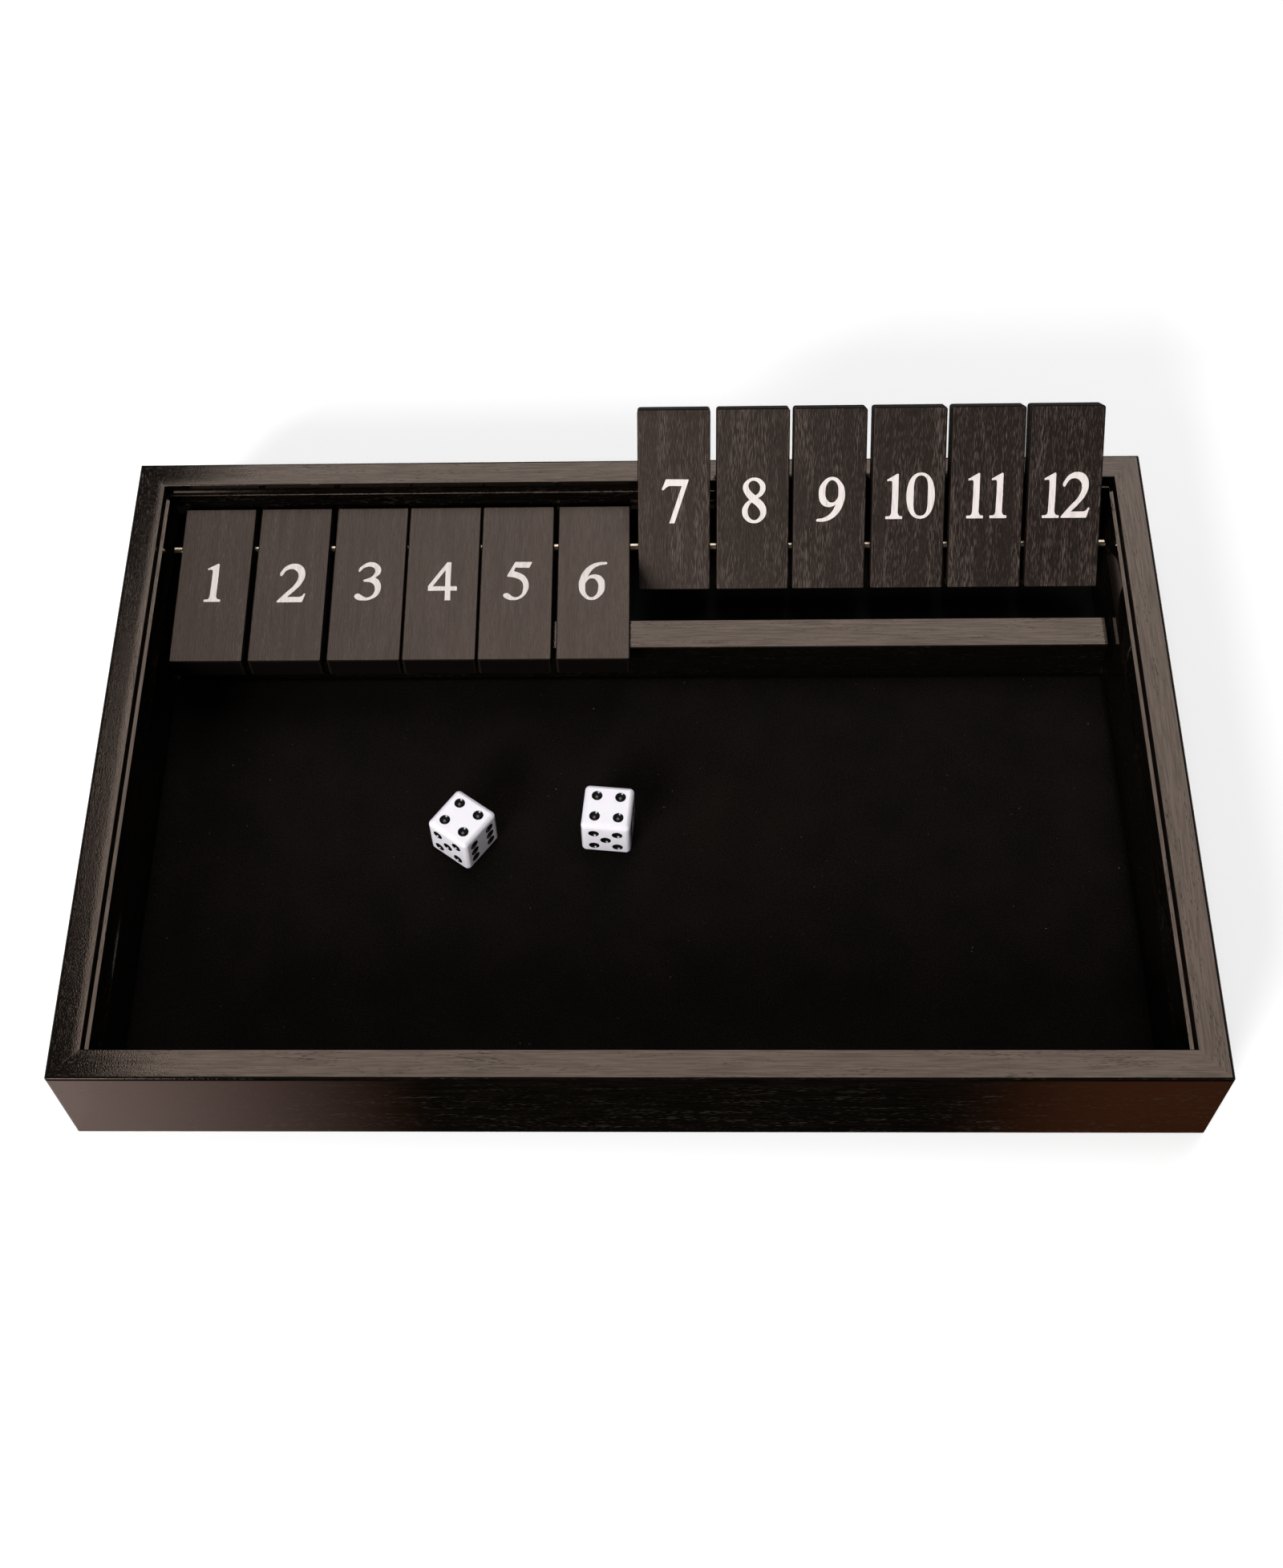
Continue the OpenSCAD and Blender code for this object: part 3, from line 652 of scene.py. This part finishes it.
# The count of each face, and the turn that brings a face looking up to its place
DIE_FACES = [(count, Euler([math.radians(v) for v in turns]).to_matrix()) for count, turns in (
    (4, (0, 0, 0)), (3, (180, 0, 0)), (5, (90, 0, 0)), (2, (-90, 0, 0)), (6, (90, 0, 90)), (1, (90, 0, -90)))]
EDGE_STEPS, BOWL_STEPS, BOWL_SIDES = 6, 8, 40  # facets from a face to an edge's middle, and down and round a bowl


def acrylic(name):
    """White moulded acrylic: clean, glossy and milky, so that light spreads a little under its skin, with a
    faint ripple 2 to 3 mm wide from tumbling."""
    material, tree, output, here = new_material(name)
    milk = add(tree, "ShaderNodeTexNoise", {"Vector": here, "Scale": 160.0, "Detail": 2.0}).outputs[0]
    ripple = add(tree, "ShaderNodeTexNoise", {"Vector": here, "Scale": 420.0, "Detail": 1.0}).outputs[0]
    colour = add(tree, "ShaderNodeMix", {
        0: milk, 6: linear("#e4dfe6"), 7: linear("#ebe7ed")}, data_type="RGBA").outputs[2]
    bump = add(tree, "ShaderNodeBump", {"Height": ripple, "Distance": 0.02 * MM}).outputs[0]
    shader = add(tree, "ShaderNodeBsdfPrincipled", {
        "Base Color": colour, "Roughness": 0.12, "Normal": bump, "IOR": 1.49,
        "Subsurface Weight": 0.3, "Subsurface Radius": (1.0, 0.9, 0.9), "Subsurface Scale": 0.8 * MM})
    tree.links.new(shader.outputs[0], output.inputs[0])
    return material


def pip_enamel(name):
    """Black enamel: wet-looking and slightly uneven in its bowl."""
    material, tree, output, here = new_material(name)
    pool = add(tree, "ShaderNodeTexNoise", {"Vector": here, "Scale": 700.0, "Detail": 1.0}).outputs[0]
    colour = add(tree, "ShaderNodeMix", {
        0: pool, 6: linear("#060505"), 7: linear("#0e0c0c")}, data_type="RGBA").outputs[2]
    bump = add(tree, "ShaderNodeBump", {"Height": pool, "Distance": 0.03 * MM}).outputs[0]
    shader = add(tree, "ShaderNodeBsdfPrincipled", {"Base Color": colour, "Roughness": 0.22, "Normal": bump})
    tree.links.new(shader.outputs[0], output.inputs[0])
    return material


def enamel_in_pips():
    """Puts a thin film of enamel in the bowl at each point, facing the way that the point's aim gives."""
    tree, given = started_group("enamel_in_pips", (
        ("Pip width", "Float", PIP_W), ("Pip depth", "Float", PIP_DEPTH), ("Bowl radius", "Float", BOWL_R),
        ("Enamel thickness", "Float", ENAMEL), ("Enamel", "Material", None)))
    # A ball of radius 1 is spread over the bowl, to just short of its rim
    bead = add(tree, "GeometryNodeMeshUVSphere", {"Segments": 28, "Rings": 14, "Radius": 1.0}).outputs[0]
    spot = add(tree, "GeometryNodeInputPosition").outputs[0]
    reach = add(tree, "ShaderNodeMath", {0: given["Pip width"], 1: 0.985 / 2}, operation="MULTIPLY").outputs[0]
    plane = add(tree, "ShaderNodeVectorMath", {0: spot, 1: (1, 1, 0)}, operation="MULTIPLY").outputs[0]
    level = add(tree, "ShaderNodeVectorMath", {0: plane, "Scale": reach}, operation="SCALE").outputs[0]
    out = add(tree, "ShaderNodeVectorMath", {0: level, 1: level}, operation="DOT_PRODUCT").outputs["Value"]
    # The bowl's floor there, below the die's face
    square = add(tree, "ShaderNodeMath", {
        0: given["Bowl radius"], 1: given["Bowl radius"]}, operation="MULTIPLY").outputs[0]
    rest = add(tree, "ShaderNodeMath", {0: square, 1: out}, operation="SUBTRACT").outputs[0]
    fall = add(tree, "ShaderNodeMath", {0: rest}, operation="SQRT").outputs[0]
    rise = add(tree, "ShaderNodeMath", {0: given["Bowl radius"], 1: fall}, operation="SUBTRACT").outputs[0]
    floor_z = add(tree, "ShaderNodeMath", {0: rise, 1: given["Pip depth"]}, operation="SUBTRACT").outputs[0]
    # The film lies on it, from a quarter of its thickness up to one and a quarter
    upward = add(tree, "ShaderNodeSeparateXYZ", {0: spot}).outputs[2]
    share = add(tree, "ShaderNodeMath", {0: upward, 1: 0.5, 2: 0.75}, operation="MULTIPLY_ADD").outputs[0]
    film = add(tree, "ShaderNodeMath", {
        0: share, 1: given["Enamel thickness"], 2: floor_z}, operation="MULTIPLY_ADD").outputs[0]
    upright = add(tree, "ShaderNodeCombineXYZ", {2: film}).outputs[0]
    shaped = add(tree, "ShaderNodeVectorMath", {0: level, 1: upright}, operation="ADD").outputs[0]
    cap = add(tree, "GeometryNodeSetPosition", {"Geometry": bead, "Position": shaped}).outputs[0]
    smooth = add(tree, "GeometryNodeSetShadeSmooth", {0: cap}).outputs[0]
    aim = add(tree, "GeometryNodeInputNamedAttribute", {"Name": "aim"}, data_type="FLOAT_VECTOR").outputs[0]
    facing = add(tree, "FunctionNodeAlignRotationToVector", {"Vector": aim}, axis="Z").outputs[0]
    set_in = add(tree, "GeometryNodeInstanceOnPoints", {
        "Points": given["Geometry"], "Instance": smooth, "Rotation": facing}).outputs[0]
    return ended_group(tree, set_in, given["Enamel"])


def pip_spots(count):
    """The places of a face's pips, in its plane."""
    a = PIP_OUT
    middle, corners, others, sides = [(0, 0)], [(-a, -a), (a, a)], [(-a, a), (a, -a)], [(-a, 0), (a, 0)]
    return {1: middle, 2: corners, 3: middle + corners, 4: corners + others, 5: middle + corners + others,
            6: corners + others + sides}[count]


def eased_skin(spot):
    """Where a spot on the plain cube comes to lie on the eased one, and the way its skin looks there."""
    flat = DIE / 2 - DIE_EDGE
    core = Vector(max(-flat, min(flat, v)) for v in spot)
    look = (Vector(spot) - core).normalized()
    return core + look * DIE_EDGE, look


def die_blank():
    """The closed body of a die, centred on the origin, before its pips are drilled."""
    flat = DIE / 2 - DIE_EDGE
    turned = [math.radians(45 * i / EDGE_STEPS) for i in range(EDGE_STEPS + 1)]
    half = [0.0] + [flat + DIE_EDGE * math.tan(angle) for angle in turned]
    stops = [-v for v in reversed(half[1:])] + half
    blank = bmesh.new()
    for _, face in DIE_FACES:
        rows = [[blank.verts.new(eased_skin(face @ Vector((x, y, DIE / 2)))[0]) for x in stops] for y in stops]
        for low, high in zip(rows, rows[1:]):
            for i in range(len(stops) - 1):
                blank.faces.new((low[i], low[i + 1], high[i + 1], high[i]))
    bmesh.ops.remove_doubles(blank, verts=blank.verts, dist=1e-7)
    return blank


def drill_bits():
    """A closed round-nosed bit for each pip, its straight part outside the die."""
    widest = math.asin(PIP_W / 2 / BOWL_R)
    leans = [widest * i / BOWL_STEPS for i in range(1, BOWL_STEPS + 1)]
    profile = [(BOWL_R * math.sin(lean), BOWL_R * (1 - math.cos(lean)) - PIP_DEPTH) for lean in leans]
    profile.append((PIP_W / 2, 0.5 * MM))
    around = [math.tau * k / BOWL_SIDES for k in range(BOWL_SIDES)]
    bits = bmesh.new()
    for count, face in DIE_FACES:
        for px, py in pip_spots(count):
            rings = [[bits.verts.new(face @ Vector((px + r * math.cos(a), py + r * math.sin(a), DIE / 2 + z)))
                      for a in around] for r, z in profile]
            nose = bits.verts.new(face @ Vector((px, py, DIE / 2 - PIP_DEPTH)))
            for k in range(BOWL_SIDES):
                after = (k + 1) % BOWL_SIDES
                bits.faces.new((nose, rings[0][after], rings[0][k]))
                for low, high in zip(rings, rings[1:]):
                    bits.faces.new((low[k], low[after], high[after], high[k]))
            bits.faces.new(rings[-1])
    for face in bits.faces:
        face.material_index = 1
    return bits


def drilled_die():
    """A die with its pips hollowed out, and the way its skin looks at each corner of each face."""
    parts = []
    for name, shape in (("die_blank", die_blank()), ("drill_bits", drill_bits())):
        bmesh.ops.recalc_face_normals(shape, faces=shape.faces)
        mesh = bpy.data.meshes.new(name)
        shape.to_mesh(mesh)
        shape.free()
        for slot in ("skin", "bowl"):
            mesh.materials.append(bpy.data.materials.get(slot) or bpy.data.materials.new(slot))
        parts.append(put_in(name, mesh))
    cut = parts[0].modifiers.new("drilled", "BOOLEAN")
    cut.operation, cut.solver, cut.object = "DIFFERENCE", "EXACT", parts[1]
    mesh = taken_off(parts[0])
    bpy.data.objects.remove(parts[1])
    centres = [face @ Vector((x, y, DIE / 2 - PIP_DEPTH + BOWL_R))
               for count, face in DIE_FACES for x, y in pip_spots(count)]
    looks = []
    for face in mesh.polygons:
        bowl = face.material_index == 1
        centre = min(centres, key=lambda c: (c - face.center).length) if bowl else None
        for i in face.vertices:
            spot = mesh.vertices[i].co
            looks.append((centre - spot).normalized() if bowl else eased_skin(spot)[1])
    return mesh, looks


white_acrylic, enamel, pip_tree = acrylic("white_acrylic"), pip_enamel("pip_enamel"), enamel_in_pips()
die_shape, die_looks = drilled_die()
for die, turn in DICE.items():
    finish_node(die, white_acrylic)
    low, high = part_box(die)
    middle = Vector(((low.x + high.x) / 2, (low.y + high.y) / 2, low.z + DIE / 2))
    shape = die_shape.copy()
    shape.transform(Matrix.Translation(middle) @ Matrix.Rotation(turn, 4, "Z"))
    shape.materials.clear()
    shape.materials.append(white_acrylic)
    for face in shape.polygons:
        face.use_smooth, face.material_index = True, 0
    shape.normals_split_custom_set([Matrix.Rotation(turn, 3, "Z") @ look for look in die_looks])
    body = put_in(die + "_body", shape)
    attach(body, die)
    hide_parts(die)
    spots, aims = [], []
    for count, face in DIE_FACES:
        facing = Matrix.Rotation(turn, 3, "Z") @ face
        for x, y in pip_spots(count):
            spots.append(middle + facing @ Vector((x, y, DIE / 2)))
            aims.append(facing @ Vector((0, 0, 1)))
    base = bpy.data.meshes.new(die + "_spots")
    base.from_pydata(spots, [], [])
    base.attributes.new("aim", "FLOAT_VECTOR", "POINT").data.foreach_set("vector", [v for aim in aims for v in aim])
    pips = from_tree(die + "_pips", base, pip_tree, {
        "Pip width": PIP_W, "Pip depth": PIP_DEPTH, "Bowl radius": BOWL_R, "Enamel thickness": ENAMEL,
        "Enamel": enamel})
    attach(pips, die)

# Studio: a seamless sweep of pale paper, one large oval softbox high behind the tray, and a smaller and
# stronger one low in front of it at the left, which shows in the wood's sheen and the enamel.
FLOOR_HALF, FLOOR_DROP = 6.0, 0.1 * MM
FLOOR_GLOW = 0.38  # added to the paper where the eye or a reflection sees it, so that it is white
SKY_LOW, SKY_HIGH = (0.1, 0.15), (0.7, 0.1)  # how high a direction points, and how bright the air is there
EYE_PLACE, EYE_TURNS = (0.0082, -0.3491, 0.5983), (("Y", 2.348), ("X", 30.87), ("Z", 0.956))
EYE_SENSOR, EYE_LENS, EYE_SHIFT = 36, 47.865, 0.0343


def pale_paper(name):
    """Matt white paper sweep, which keeps the tray's shadow. Its tooth is too fine to show, so it is drawn as a
    faint unevenness over 0.3 m."""
    material, tree, output, here = new_material(name)
    tooth = add(tree, "ShaderNodeTexNoise", {"Vector": here, "Scale": 3.0, "Detail": 1.0}).outputs[0]
    colour = add(tree, "ShaderNodeMix", {
        0: tooth, 6: linear("#f1f1f1"), 7: linear("#f4f4f4")}, data_type="RGBA").outputs[2]
    paper = add(tree, "ShaderNodeBsdfDiffuse", {"Color": colour}).outputs[0]
    ray = add(tree, "ShaderNodeLightPath").outputs
    seen = add(tree, "ShaderNodeMath", {
        0: ray["Is Camera Ray"], 1: ray["Is Glossy Ray"]}, operation="MAXIMUM").outputs[0]
    seen = add(tree, "ShaderNodeMath", {0: seen, 1: ray["Is Transmission Ray"]}, operation="MAXIMUM").outputs[0]
    faint = add(tree, "ShaderNodeMath", {0: seen, 1: FLOOR_GLOW}, operation="MULTIPLY").outputs[0]
    glow = add(tree, "ShaderNodeEmission", {"Strength": faint}).outputs[0]
    both = add(tree, "ShaderNodeAddShader", {0: paper, 1: glow}).outputs[0]
    tree.links.new(both, output.inputs[0])
    return material


floor_mesh = bpy.data.meshes.new("paper_floor")
floor_mesh.from_pydata([(x * FLOOR_HALF, y * FLOOR_HALF, -FLOOR_DROP) for x, y in (
    (-1, -1), (1, -1), (1, 1), (-1, 1))], [], [(0, 1, 2, 3)])
floor = put_in("paper_floor", floor_mesh)
floor_mesh.materials.append(pale_paper("pale_paper"))


def softbox(name, middle, width, depth, radiance, aim=None):
    """A soft oval lamp of a given radiance. It looks straight down, or at aim."""
    lamp = bpy.data.lights.new(name, "AREA")
    lamp.shape, lamp.size, lamp.size_y = "ELLIPSE", width, depth
    lamp.energy = radiance * math.pi * math.pi / 4 * width * depth  # radiance, times pi, times the oval's area
    made = put_in(name, lamp)
    made.location = middle
    if aim is not None:
        made.rotation_euler = (Vector(aim) - Vector(middle)).to_track_quat("-Z", "Y").to_euler()


softbox("softbox_behind", (0.355, 2.4, 4.0), width=3.43, depth=5.0, radiance=3.2)
softbox("softbox_front", (-1.18, -1.89, 0.95), width=1.2, depth=1.2, radiance=22.0, aim=(0, 0, 0))

world = bpy.data.worlds.new("studio")
world.use_nodes = True
air = world.node_tree
air.nodes.clear()
direction = add(air, "ShaderNodeTexCoord").outputs["Generated"]
height = add(air, "ShaderNodeSeparateXYZ", {0: direction}).outputs[2]
fading = add(air, "ShaderNodeMapRange", {
    "Value": height, "From Min": SKY_LOW[0], "From Max": SKY_HIGH[0],
    "To Min": SKY_LOW[1], "To Max": SKY_HIGH[1]}).outputs[0]
sky = add(air, "ShaderNodeBackground", {"Color": (1, 1, 1, 1), "Strength": fading}).outputs[0]
add(air, "ShaderNodeOutputWorld", {0: sky})
bpy.context.scene.world = world

scene = bpy.context.scene
scene.view_settings.view_transform = "Standard"
eye = bpy.data.cameras.new("camera")
eye.sensor_fit, eye.sensor_height, eye.lens = "VERTICAL", EYE_SENSOR, EYE_LENS
eye.shift_x, eye.clip_end = EYE_SHIFT, 50
camera = put_in("camera", eye)
view = Matrix.Translation(EYE_PLACE)
for axis, degrees in EYE_TURNS:
    view = view @ Matrix.Rotation(math.radians(degrees), 4, axis)
camera.matrix_world = view
scene.camera = camera
